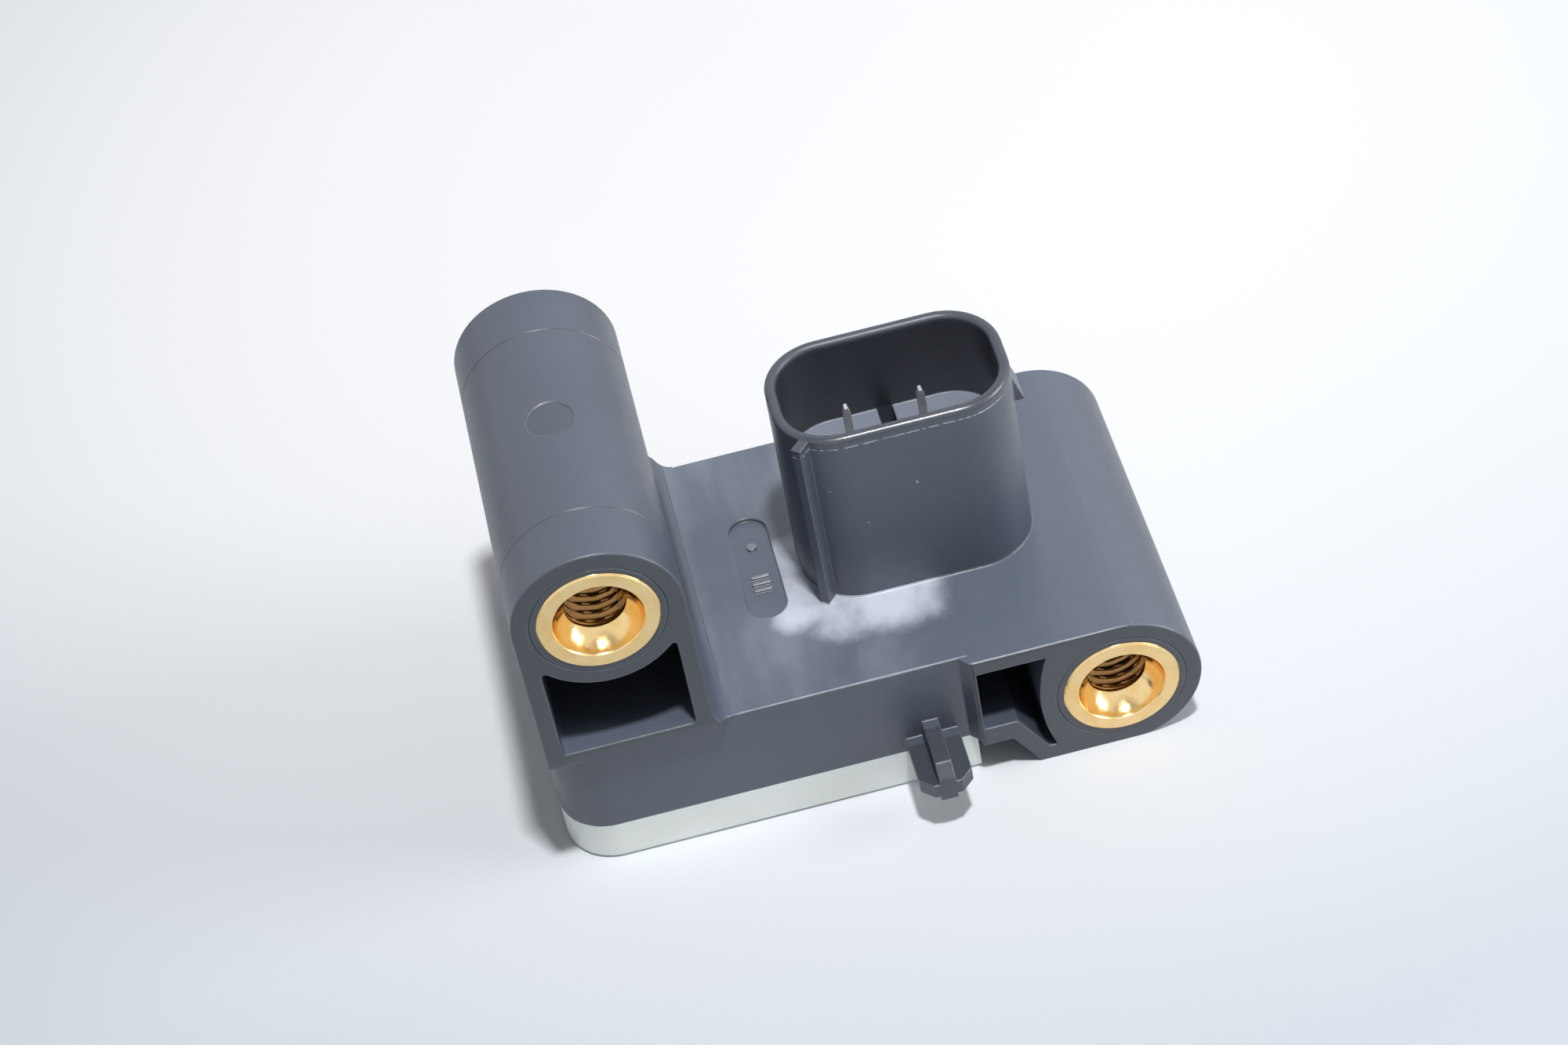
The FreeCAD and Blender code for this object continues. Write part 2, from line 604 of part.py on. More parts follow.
def terminal(side, jog_above_top):
    """Square terminal with a tapered tip, jogged sideways inside the moulding to reach the board."""
    plug_x, board_x = terminal_places(side)
    half = TERMINAL_SIZE / 2
    tip = TERMINAL_TIP_SIZE / 2
    high = rim_z - TERMINAL_TIP_BELOW_RIM
    low = board_bottom - TERMINAL_BELOW_BOARD
    jog = top_z + jog_above_top
    profile = [
        (plug_x - half, high - TERMINAL_TIP_TAPER), (plug_x - half, jog + half), (board_x - half, jog + half),
        (board_x - half, low + TERMINAL_TIP_TAPER), (board_x - tip, low), (board_x + tip, low),
        (board_x + half, low + TERMINAL_TIP_TAPER), (board_x + half, jog - half), (plug_x + half, jog - half),
        (plug_x + half, high - TERMINAL_TIP_TAPER), (plug_x + tip, high), (plug_x - tip, high),
    ]
    return solid_from(outline(profile, on_front(shroud_mid_y - half)), y=TERMINAL_SIZE)


def solder_joints():
    """Solder round both terminals: a filled hole and a cone under the board."""
    joints = []
    for side, jog_above_top in ((-1, LEFT_JOG_ABOVE_TOP), (1, RIGHT_JOG_ABOVE_TOP)):
        x = terminal_places(side)[1]
        barrel = rod_z(x, shroud_mid_y, TERMINAL_HOLE_DIAMETER, board_bottom, board_top)
        down = FreeCAD.Vector(0, 0, -1)
        cone = Part.makeCone(SOLDER_DIAMETER / 2, SOLDER_TIP_DIAMETER / 2, SOLDER_HEIGHT,
                             FreeCAD.Vector(x, shroud_mid_y, board_bottom), down)
        joints.append(barrel.fuse(cone).cut(terminal(side, jog_above_top)))
    return Part.makeCompound(joints)


# Circuit board

def circuit_board():
    """Board that fills the box with a clearance, holed for its stakes and terminals."""
    board = cavity(BOARD_CLEARANCE, board_bottom, board_top)
    holes = [rod_z(x, y, STAKE_DIAMETER + 2 * STAKE_CLEARANCE, board_bottom, board_top)
             for x, y in stake_places()]
    for side in (-1, 1):
        x = terminal_places(side)[1]
        holes.append(rod_z(x, shroud_mid_y, TERMINAL_HOLE_DIAMETER, board_bottom, board_top))
    return board.cut(holes)


# Parts on the board

def accelerometer_package():
    """Moulded body of the accelerometer, just above the board."""
    low = board_top + CHIP_STANDOFF
    return box((CHIP_X - CHIP_WIDTH / 2, CHIP_X + CHIP_WIDTH / 2),
               (CHIP_Y - CHIP_LENGTH / 2, CHIP_Y + CHIP_LENGTH / 2), (low, low + CHIP_HEIGHT))


def accelerometer_leads():
    """Gull wing leads along both long sides of the accelerometer."""
    middle = board_top + CHIP_STANDOFF + CHIP_HEIGHT / 2
    half = LEAD_THICKNESS / 2
    near = CHIP_WIDTH / 2
    bend = near + LEAD_REACH - LEAD_FOOT
    wing = [(near, middle - half), (bend - half, middle - half), (bend - half, board_top),
            (near + LEAD_REACH, board_top), (near + LEAD_REACH, board_top + LEAD_THICKNESS),
            (bend + half, board_top + LEAD_THICKNESS), (bend + half, middle + half), (near, middle + half)]
    first = CHIP_Y - LEAD_PITCH * (LEADS_PER_SIDE - 1) / 2 - LEAD_WIDTH / 2
    leads = []
    for side in (-1, 1):
        profile = [(CHIP_X + side * reach, z) for reach, z in wing]
        for index in range(LEADS_PER_SIDE):
            leads.append(solid_from(outline(profile, on_front(first + index * LEAD_PITCH)), y=LEAD_WIDTH))
    return Part.makeCompound(leads)


def chip_part(row, size):
    """Ceramic part with a metal cap at each end, standing in the row on the board."""
    length, width, height = size
    y = row_front + row * row_pitch
    body = box((PARTS_ROW_X - length / 2, PARTS_ROW_X + length / 2), (y - width / 2, y + width / 2),
               (board_top + END_CAP_PROUD, board_top + height - END_CAP_PROUD))
    caps = []
    for end in (-length / 2, length / 2 - END_CAP_LENGTH):
        caps.append(box((PARTS_ROW_X + end, PARTS_ROW_X + end + END_CAP_LENGTH),
                        (y - width / 2 - END_CAP_PROUD, y + width / 2 + END_CAP_PROUD),
                        (board_top, board_top + height)))
    return body.fuse(caps)


def clamp_diode(row):
    """Clamp diode: a moulded body on two flat tabs."""
    length, width, height = DIODE_SIZE
    y = row_front + row * row_pitch
    half = length / 2
    body = box((PARTS_ROW_X - half, PARTS_ROW_X + half), (y - width / 2, y + width / 2),
               (board_top + DIODE_TAB_HEIGHT / 2, board_top + height))
    tabs = []
    for end in (-half - DIODE_TAB_LENGTH / 2, half - DIODE_TAB_LENGTH / 2):
        tabs.append(box((PARTS_ROW_X + end, PARTS_ROW_X + end + DIODE_TAB_LENGTH),
                        (y - DIODE_TAB_WIDTH / 2, y + DIODE_TAB_WIDTH / 2),
                        (board_top, board_top + DIODE_TAB_HEIGHT)))
    return body.fuse(tabs)


# Export

def main():
    pieces = {
        "housing": housing(),
        "base_cover": base_cover(),
        "tall_boss_insert": insert(0, tall_axis_z),
        "low_boss_insert": insert(BOSS_SPACING_X, low_axis_z),
        "terminal_left": terminal(-1, LEFT_JOG_ABOVE_TOP),
        "terminal_right": terminal(1, RIGHT_JOG_ABOVE_TOP),
        "terminal_solder_joints": solder_joints(),
        "circuit_board": circuit_board(),
        "accelerometer_package": accelerometer_package(),
        "accelerometer_leads": accelerometer_leads(),
        "supply_capacitor": chip_part(0, SUPPLY_CAPACITOR_SIZE),
        "bus_capacitor": chip_part(1, BUS_CAPACITOR_SIZE),
        "filter_capacitor": chip_part(2, FILTER_CAPACITOR_SIZE),
        "series_resistor_left": chip_part(3, RESISTOR_SIZE),
        "series_resistor_right": chip_part(4, RESISTOR_SIZE),
        "clamp_diode": clamp_diode(5),
    }
    os.makedirs("parts", exist_ok=True)
    for name, shape in pieces.items():
        shape.translate(FreeCAD.Vector(-footprint_x, -footprint_y, 0))
        shape.exportStep(os.path.join("parts", name + ".step"))
        print(name, len(shape.Solids), shape.isValid(), round(shape.Volume, 2), shape.BoundBox)


main()
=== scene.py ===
"""Crash sensor on a pale table: moulded housing, brass inserts, plug shroud and white base cover."""
import json
import math

import bpy
from mathutils import Matrix, Vector


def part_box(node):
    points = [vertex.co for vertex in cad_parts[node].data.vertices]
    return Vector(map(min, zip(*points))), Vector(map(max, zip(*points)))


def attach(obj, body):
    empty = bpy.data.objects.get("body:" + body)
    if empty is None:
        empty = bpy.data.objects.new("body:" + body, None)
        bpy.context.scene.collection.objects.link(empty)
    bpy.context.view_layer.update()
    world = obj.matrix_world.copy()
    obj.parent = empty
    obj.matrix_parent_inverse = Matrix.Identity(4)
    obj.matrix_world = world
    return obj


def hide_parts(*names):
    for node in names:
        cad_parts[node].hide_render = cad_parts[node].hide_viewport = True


MM = 0.001

# Camera that took the photograph
IMAGE_WIDTH = 2000
FOCAL_PIXELS = 4622.6
SENSOR_WIDTH = 36.0
CAMERA_PLACE = Vector((-16.349, -216.384, 230.004)) * MM
CAMERA_AZIMUTH = math.radians(3.387)
CAMERA_ELEVATION = math.radians(43.979)
CAMERA_ROLL = math.radians(-11.703)

# Threaded inserts: axis places come from the frame, and sizes from the solids, whose dish bulges more
INSERT_NODES = ("tall_boss_insert", "low_boss_insert")
INSERT_OUTER = 5.0 * MM
INSERT_CHAMFER = 0.15 * MM
INSERT_LENGTH = 16.0 * MM
MOUTH_RADIUS = 3.7 * MM
MOUTH_DEPTH = 2.0 * MM
MOUTH_BULGE = 0.16 * MM
MOUTH_CHAMFER = 0.07 * MM
GROOVE_SPAN = (5.15 * MM, 7.15 * MM)
GROOVE_RADIUS = 4.5 * MM
THREAD_CORE = 2.5 * MM
THREAD_DEPTH = 0.54 * MM
THREAD_PITCH = 1.0 * MM
THREAD_RUN_IN = 0.8 * MM
# Crest and flank of the thread, as shares of half a pitch
THREAD_CREST = 0.12
THREAD_FLANK = 0.7
ROWS_PER_PITCH = 12
ROUND_STEPS = 96
DISH_STEPS = 14
SHARP_ANGLE = math.radians(35)

# Patterns that repeat in the finishes
TOOL_RING_PITCH = 0.11 * MM
WEAVE_PITCH = 0.5 * MM

# Places on the housing that its finish and its painted light and shade depend on
TOP_PLATE_Z = 13.53 * MM
SHROUD_X = (-2.71 * MM, 17.24 * MM)
SHROUD_Y = (-3.4 * MM, 9.35 * MM)
RIM_Z = 31.53 * MM
SHROUD_WALL = 0.95 * MM
SHROUD_CORNER = 5.1 * MM
SHROUD_FLOOR_Z = 23.03 * MM
BLOCK_LEFT = 8.24 * MM
SEAM_BELOW_RIM = 1.0 * MM
BOSS_FACE_Y = -14.1 * MM
POCKET_LIT_DEPTH = 3.5 * MM
POCKET_END = 27 * MM
TALL_POCKET_X = (-25.9 * MM, -14.5 * MM)
TALL_POCKET_Z = (14.8 * MM, 24.0 * MM)
LOW_POCKET_X = (8.4 * MM, 14.7 * MM)
LOW_POCKET_Z = (4.0 * MM, 12.2 * MM)
RECESS_X = (-8.06 * MM, -4.66 * MM)
RECESS_Y = (-3.15 * MM, 9.15 * MM)
MARK_TOP_Z = 13.43 * MM
GATE_MARK = (-20.21 * MM, 2.6 * MM)
GATE_RADIUS = 2.0 * MM

FLOOR_HALF = 2.0
# Painted pool of light on the table: its centre, how far it stays white, and where its falloff to grey ends
FLOOR_LIGHT_POOL_CENTRE = (12 * MM, 85 * MM)
FLOOR_WHITE_REACH = 30 * MM
FLOOR_GREY_REACH = 135 * MM
LAMP_AIM = Vector((0, 0, 15)) * MM

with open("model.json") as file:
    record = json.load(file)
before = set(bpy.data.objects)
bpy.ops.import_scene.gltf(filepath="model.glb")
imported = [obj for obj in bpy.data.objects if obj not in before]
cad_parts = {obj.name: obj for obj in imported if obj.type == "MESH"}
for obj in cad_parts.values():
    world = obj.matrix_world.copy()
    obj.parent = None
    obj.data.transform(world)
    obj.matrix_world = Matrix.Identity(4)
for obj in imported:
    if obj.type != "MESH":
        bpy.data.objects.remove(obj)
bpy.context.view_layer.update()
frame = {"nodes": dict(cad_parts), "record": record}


# Node helpers

def feed(tree, socket, value):
    """Links an output to a socket, or sets a plain value on it."""
    if isinstance(value, bpy.types.NodeSocket):
        tree.links.new(value, socket)
    else:
        socket.default_value = value


def smooth_span(tree, value, low, high, out_low, out_high):
    """Maps low..high smoothly to out_low..out_high, clamped."""
    node = tree.nodes.new("ShaderNodeMapRange")
    node.interpolation_type = "SMOOTHSTEP"
    levels = {"Value": value, "From Min": low, "From Max": high, "To Min": out_low, "To Max": out_high}
    for name, level in levels.items():
        feed(tree, node.inputs[name], level)
    return node.outputs["Result"]


class Shader:
    """One material's node tree, with a short call for each kind of node used here."""

    def __init__(self, name):
        self.material = bpy.data.materials.new(name)
        self.material.use_nodes = True
        self.tree = self.material.node_tree
        self.bsdf = self.tree.nodes["Principled BSDF"]
        self.place = self.add("ShaderNodeTexCoord").outputs["Object"]

    def add(self, kind):
        return self.tree.nodes.new(kind)

    def feed(self, socket, value):
        feed(self.tree, socket, value)

    def noise(self, size, detail=2.0, roughness=0.5, stretch=(1, 1, 1)):
        """Noise with features of about that size in metres, stretched along the axes."""
        mapping = self.add("ShaderNodeMapping")
        self.feed(mapping.inputs["Vector"], self.place)
        mapping.inputs["Scale"].default_value = stretch
        node = self.add("ShaderNodeTexNoise")
        self.feed(node.inputs["Vector"], mapping.outputs["Vector"])
        node.inputs["Scale"].default_value = 1 / size
        node.inputs["Detail"].default_value = detail
        node.inputs["Roughness"].default_value = roughness
        return node.outputs["Fac"]

    def span(self, value, low, high, out_low=0.0, out_high=1.0):
        return smooth_span(self.tree, value, low, high, out_low, out_high)

    def band(self, value, low, high, soft):
        """One between low and high, fading to nothing over the soft distance outside."""
        return self.product(self.span(value, low - soft, low), self.span(value, high, high + soft, 1, 0))

    def math(self, operation, first, second=0.5):
        node = self.add("ShaderNodeMath")
        node.operation = operation
        self.feed(node.inputs[0], first)
        self.feed(node.inputs[1], second)
        return node.outputs["Value"]

    def product(self, *values):
        result = values[0]
        for value in values[1:]:
            result = self.math("MULTIPLY", result, value)
        return result

    def mix(self, amount, first, second):
        """Mixes two colours."""
        node = self.add("ShaderNodeMix")
        node.data_type = "RGBA"
        self.feed(node.inputs["Factor"], amount)
        self.feed(node.inputs["A"], colour(first))
        self.feed(node.inputs["B"], colour(second))
        return node.outputs["Result"]

    def axes(self):
        node = self.add("ShaderNodeSeparateXYZ")
        self.feed(node.inputs["Vector"], self.place)
        return node.outputs["X"], node.outputs["Y"], node.outputs["Z"]

    def rounded_normal(self, radius):
        """Surface normal that turns softly over sharp edges."""
        node = self.add("ShaderNodeBevel")
        node.samples = 6
        node.inputs["Radius"].default_value = radius
        return node.outputs["Normal"]

    def edge_mask(self, rounded, reach):
        """One on sharp edges, from how far the rounded normal leans off the true one."""
        node = self.add("ShaderNodeVectorMath")
        node.operation = "DOT_PRODUCT"
        self.feed(node.inputs[0], rounded)
        self.feed(node.inputs[1], self.add("ShaderNodeNewGeometry").outputs["True Normal"])
        return self.span(node.outputs["Value"], 1 - reach, 1, 1, 0)

    def facing_up(self, low, high):
        """One on level faces that look up, fading as they tilt."""
        split = self.add("ShaderNodeSeparateXYZ")
        self.feed(split.inputs["Vector"], self.add("ShaderNodeNewGeometry").outputs["Normal"])
        return self.span(split.outputs["Z"], low, high)

    def bump(self, height, depth, strength=1.0, normal=None):
        node = self.add("ShaderNodeBump")
        self.feed(node.inputs["Height"], height)
        node.inputs["Distance"].default_value = depth
        node.inputs["Strength"].default_value = strength
        if normal is not None:
            self.feed(node.inputs["Normal"], normal)
        return node.outputs["Normal"]

    def finish(self, **inputs):
        """Feeds the surface's inputs, named with underscores for spaces, and returns the material."""
        for name, value in inputs.items():
            self.feed(self.bsdf.inputs[name.replace("_", " ")], colour(value))
        return self.material


def colour(value):
    """A red, green and blue triple gets its alpha; anything else stays as it is."""
    if isinstance(value, tuple) and len(value) == 3:
        return (*value, 1.0)
    return value


# Materials

def shroud_distance(s, x, y):
    """How far out a place lies in the shroud's rounded outline: its corner radius is the outer side."""
    squares = []
    for value, (low, high) in ((x, SHROUD_X), (y, SHROUD_Y)):
        offset = s.math("ABSOLUTE", s.math("SUBTRACT", value, (low + high) / 2))
        beyond = s.math("MAXIMUM", s.math("SUBTRACT", offset, (high - low) / 2 - SHROUD_CORNER), 0.0)
        squares.append(s.product(beyond, beyond))
    return s.math("SQRT", s.math("ADD", *squares))


def pocket_places(s, x, z):
    """One inside the openings of the two moulding pockets, seen from the front."""
    tall = s.product(s.band(x, *TALL_POCKET_X, 0.05 * MM), s.band(z, *TALL_POCKET_Z, 0.05 * MM))
    low = s.product(s.band(x, *LOW_POCKET_X, 0.05 * MM), s.band(z, *LOW_POCKET_Z, 0.05 * MM))
    return s.math("MAXIMUM", tall, low)


def shroud_inside(s, x, y, z):
    """One on the walls inside the shroud, between its floor and its rim."""
    within = s.span(shroud_distance(s, x, y), SHROUD_CORNER - 0.8 * SHROUD_WALL,
                    SHROUD_CORNER - 0.5 * SHROUD_WALL, 1, 0)
    return s.product(within, s.band(z, SHROUD_FLOOR_Z + 0.2 * MM, RIM_Z - 0.6 * MM, 0.1 * MM))


def deep_pockets(s, x, y, z):
    """One deep inside the two moulding pockets, where little light reaches."""
    return s.product(s.span(y, BOSS_FACE_Y + 2 * MM, BOSS_FACE_Y + POCKET_LIT_DEPTH),
                     s.span(y, BOSS_FACE_Y + POCKET_END, BOSS_FACE_Y + POCKET_END + 1 * MM, 1, 0),
                     pocket_places(s, x, z))


def painted_plate_sheen(s, x, y):
    """Painted sheen: pale clouds of painted reflection before and beside the shroud, and faint streaks left
    of the block.
    """
    front = s.product(s.band(y, SHROUD_Y[0] - 2 * MM, SHROUD_Y[0], 5.5 * MM),
                      s.band(x, SHROUD_X[0] + 1.5 * MM, BLOCK_LEFT - 2 * MM, 4.5 * MM))
    left = s.product(s.band(x, SHROUD_X[0] - 2 * MM, SHROUD_X[0], 3 * MM),
                     s.band(y, SHROUD_Y[0] - 0.5 * MM, SHROUD_Y[1] - 5 * MM, 3.5 * MM))
    near = s.math("MAXIMUM", front, left)
    wisp = s.noise(5 * MM, 5, 0.55, (1, 0.7, 1))
    cloud = s.span(s.math("ADD", s.product(near, 0.6), s.product(wisp, 0.9)), 0.58, 1.14)
    streak = s.span(s.noise(4 * MM, 3, 0.5, (1, 0.35, 1)), 0.4, 0.72, 0, 0.14)
    return s.math("MAXIMUM", cloud, s.product(streak, s.span(x, 0, BLOCK_LEFT, 1, 0)))


def shroud_seam(s, x, y, z):
    """Broken pale line of the moulding seam, on the shroud's front below the rim."""
    seam_z = RIM_Z - SEAM_BELOW_RIM
    return s.product(s.band(z, seam_z - 0.04 * MM, seam_z + 0.04 * MM, 0.03 * MM),
                     s.span(y, SHROUD_Y[0] + 1 * MM, SHROUD_Y[0] + 2 * MM, 1, 0),
                     s.span(x, SHROUD_X[0] - 1 * MM, SHROUD_X[0]), s.span(s.noise(0.45 * MM, 3), 0.4, 0.5))


def shroud_flecks(s, x, y, z):
    """A few pale flecks on the front of the shroud."""
    return s.product(s.span(s.noise(0.9 * MM, 1), 0.76, 0.8),
                     s.span(y, SHROUD_Y[0], SHROUD_Y[0] + 1 * MM, 1, 0),
                     s.span(z, TOP_PLATE_Z, TOP_PLATE_Z + 1 * MM),
                     s.span(x, SHROUD_X[0] - 1 * MM, SHROUD_X[0]))


def gate_place(s, x, y):
    """One inside the round gate mark, seen from above."""
    across = s.math("SUBTRACT", x, GATE_MARK[0])
    along = s.math("SUBTRACT", y, GATE_MARK[1])
    square = s.math("ADD", s.product(across, across), s.product(along, along))
    return s.span(square, GATE_RADIUS ** 2 * 0.9, GATE_RADIUS ** 2, 1, 0)


def housing_plastic():
    """Dark blue-grey moulded plastic: fine texture and soft edges, with painted light and shade: lighter
    tops and floor pads, a painted cloudy sheen beside the shroud, painted edge highlights, a darkened rim
    and painted shade inside the shroud and pockets.
    """
    s = Shader("housing_plastic")
    x, y, z = s.axes()
    tone = s.span(s.noise(9 * MM, 3), 0.3, 0.7)
    speck = s.span(s.noise(0.35 * MM, 2), 0.62, 0.75)
    base = s.mix(tone, (0.056, 0.069, 0.096), (0.067, 0.082, 0.113))
    up = s.facing_up(0.55, 1.0)
    below_rim = s.product(s.span(z, 9 * MM, 12 * MM), s.span(z, RIM_Z - 1.2 * MM, RIM_Z - 0.8 * MM, 1, 0))
    above_tube = s.span(z, RIM_Z + 0.5 * MM, RIM_Z + 1 * MM)
    # Painted light: upward faces below the rim, and more faintly the tube's top, are lightened in the colour
    # as if lit from above.
    painted_top_light = s.math("MAXIMUM", s.product(below_rim, 0.85), s.product(above_tube, 0.35))
    base = s.mix(s.product(up, painted_top_light), base, (0.108, 0.131, 0.18))
    base = s.mix(s.product(speck, 0.12), base, (0.2, 0.21, 0.23))

    # Painted shade: the walls inside the shroud and deep in the two pockets are darkened towards near-black;
    # the boss's front face is also made darker.
    face = s.span(y, BOSS_FACE_Y + 0.05 * MM, BOSS_FACE_Y + 0.1 * MM, 1, 0)
    painted_shade_and_face_tone = s.math("MAXIMUM", s.product(shroud_inside(s, x, y, z), 0.85), s.product(face, 0.55))
    painted_shade_and_face_tone = s.math("MAXIMUM", painted_shade_and_face_tone, s.product(deep_pockets(s, x, y, z), 0.45))
    base = s.mix(painted_shade_and_face_tone, base, (0.012, 0.014, 0.018))
    # Painted light: the upward pads on the shroud's floor are lightened as if lit.
    painted_pad_light = s.product(up, s.band(z, SHROUD_FLOOR_Z - 0.1 * MM, SHROUD_FLOOR_Z + 0.1 * MM, 0.05 * MM))
    base = s.mix(painted_pad_light, base, (0.25, 0.28, 0.35))

    plate = s.band(z, TOP_PLATE_Z - 0.15 * MM, TOP_PLATE_Z + 0.15 * MM, 0.05 * MM)
    # Painted reflection: pale clouds on the top plate stand in for its sheen.
    base = s.mix(s.product(plate, painted_plate_sheen(s, x, y)), base, (0.6, 0.64, 0.73))

    recess = s.product(s.band(x, *RECESS_X, 0.05 * MM), s.band(y, *RECESS_Y, 0.05 * MM))
    mark = s.product(recess, s.band(z, MARK_TOP_Z - 0.05 * MM, MARK_TOP_Z + 0.03 * MM, 0.03 * MM))
    base = s.mix(s.product(mark, 0.5), base, (0.3, 0.32, 0.37))

    lip = s.product(s.band(z, RIM_Z - 0.5 * MM, RIM_Z, 0.1 * MM),
                    s.span(x, SHROUD_X[0] - 1 * MM, SHROUD_X[0]))
    # Painted shade: the rim's top is darkened towards near-black.
    base = s.mix(s.product(lip, 0.45), base, (0.02, 0.024, 0.032))

    base = s.mix(s.product(shroud_seam(s, x, y, z), 0.8), base, (0.55, 0.58, 0.61))
    base = s.mix(s.product(shroud_flecks(s, x, y, z), 0.6), base, (0.4, 0.42, 0.45))
    base = s.mix(s.product(gate_place(s, x, y), above_tube, 0.25), base, (0.03, 0.036, 0.05))

    rounded = s.rounded_normal(0.25 * MM)
    edge = s.product(s.edge_mask(rounded, 0.25), s.span(s.noise(2.5 * MM, 3), 0.3, 0.6, 0.35, 1))
    # Painted highlight: sharp edges are lightened in the colour, in patches.
    base = s.mix(s.product(edge, 0.35), base, (0.34, 0.37, 0.42))

    grain = s.bump(s.noise(0.16 * MM, 2), 0.012 * MM, 0.5, rounded)
    wave = s.bump(s.product(s.noise(6 * MM, 2), plate), 0.3 * MM, 0.6, grain)
    near_lip = s.product(lip, s.span(y, SHROUD_Y[0] + 1 * MM, SHROUD_Y[0] + 3 * MM, 1, 0))
    rough = s.math("ADD", s.span(s.noise(1.2 * MM, 3), 0.3, 0.7, 0.4, 0.44), s.product(plate, -0.06))
    rough = s.math("ADD", rough, s.product(s.math("MAXIMUM", near_lip, edge), -0.16))
    return s.finish(Base_Color=base, Roughness=rough, Normal=wave, Specular_IOR_Level=0.9)


def cover_plastic():
    """Natural off-white plastic, faintly green, with soft moulding marks."""
    s = Shader("cover_plastic")
    tone = s.span(s.noise(7 * MM, 3), 0.3, 0.7)
    base = s.mix(tone, (0.82, 0.85, 0.81), (0.89, 0.91, 0.88))
    rounded = s.rounded_normal(0.2 * MM)
    grain = s.bump(s.noise(0.3 * MM, 2), 0.01 * MM, 0.5, rounded)
    rough = s.span(s.noise(1.5 * MM, 3), 0.3, 0.7, 0.34, 0.46)
    return s.finish(Base_Color=base, Roughness=rough, Normal=grain, Subsurface_Weight=0.25,
                    Subsurface_Scale=2 * MM)


def turned_brass():
    """Turned brass: fine tool rings round the insert's own axis and a slightly uneven polish."""
    s = Shader("turned_brass")
    x, y, z = s.axes()
    radius = s.math("SQRT", s.math("ADD", s.product(x, x), s.product(z, z)))
    rings = s.math("SINE", s.product(radius, 2 * math.pi / TOOL_RING_PITCH))
    face = s.span(y, 0.02 * MM, 0.08 * MM, 1, 0)
    stain = s.span(s.noise(1.6 * MM, 3), 0.35, 0.7)
    base = s.mix(stain, (0.93, 0.68, 0.34), (0.88, 0.6, 0.26))
    # Painted shade: deeper in the bore, past the mouth, the brass is darkened to dark brown.
    deep = s.span(y, MOUTH_DEPTH - 0.3 * MM, MOUTH_DEPTH + 1.2 * MM)
    base = s.mix(s.product(deep, 0.9), base, (0.24, 0.11, 0.035))
    rough = s.math("ADD", s.span(s.noise(0.5 * MM, 3), 0.3, 0.7, 0.12, 0.2), s.product(face, 0.16))
    tool = s.bump(s.product(rings, face), 0.004 * MM, 0.5, s.rounded_normal(0.08 * MM))
    return s.finish(Base_Color=base, Metallic=1.0, Roughness=rough, Normal=tool)


def tinned_metal():
    """Tin plate drawn lengthwise."""
    s = Shader("tinned_metal")
    drawn = s.noise(0.12 * MM, 2, 0.5, (1, 1, 0.05))
    base = s.mix(s.span(s.noise(0.8 * MM, 2), 0.3, 0.7), (0.56, 0.57, 0.6), (0.66, 0.67, 0.7))
    normal = s.bump(drawn, 0.006 * MM, 0.5, s.rounded_normal(0.05 * MM))
    rough = s.span(drawn, 0.3, 0.7, 0.35, 0.5)
    return s.finish(Base_Color=base, Metallic=0.5, Roughness=rough, Normal=normal)


def dull_solder():
    """Dull, finely grained solder."""
    s = Shader("dull_solder")
    grain = s.noise(0.2 * MM, 4)
    base = s.mix(s.span(grain, 0.3, 0.7), (0.5, 0.5, 0.51), (0.64, 0.64, 0.65))
    return s.finish(Base_Color=base, Metallic=1.0, Roughness=0.45, Normal=s.bump(grain, 0.02 * MM, 0.5))


def board_laminate():
    """Glass laminate under a green mask: a faint weave and broad copper fields below it."""
    s = Shader("board_laminate")
    x, y, _ = s.axes()
    warp = s.math("SINE", s.product(x, 2 * math.pi / WEAVE_PITCH))
    weft = s.math("SINE", s.product(y, 2 * math.pi / WEAVE_PITCH))
    copper = s.span(s.noise(4 * MM, 1), 0.48, 0.5)
    base = s.mix(copper, (0.012, 0.085, 0.035), (0.03, 0.16, 0.06))
    return s.finish(Base_Color=base, Roughness=s.span(s.noise(1 * MM), 0.3, 0.7, 0.25, 0.35),
                    Normal=s.bump(s.product(warp, weft), 0.008 * MM, 0.3))


def chip_epoxy():
    """Black moulded epoxy with a fine sandy texture."""
    s = Shader("chip_epoxy")
    sand = s.noise(0.08 * MM, 3)
    base = s.mix(s.span(sand, 0.3, 0.7), (0.012, 0.012, 0.013), (0.022, 0.022, 0.024))
    return s.finish(Base_Color=base, Roughness=0.6, Normal=s.bump(sand, 0.012 * MM, 0.5))


def capacitor_ceramic():
    """Fired tan ceramic, finely grained."""
    s = Shader("capacitor_ceramic")
    grain = s.noise(0.3 * MM, 4)
    base = s.mix(s.span(grain, 0.3, 0.7), (0.26, 0.17, 0.085), (0.36, 0.25, 0.14))
    return s.finish(Base_Color=base, Roughness=0.38, Normal=s.bump(grain, 0.008 * MM, 0.4))


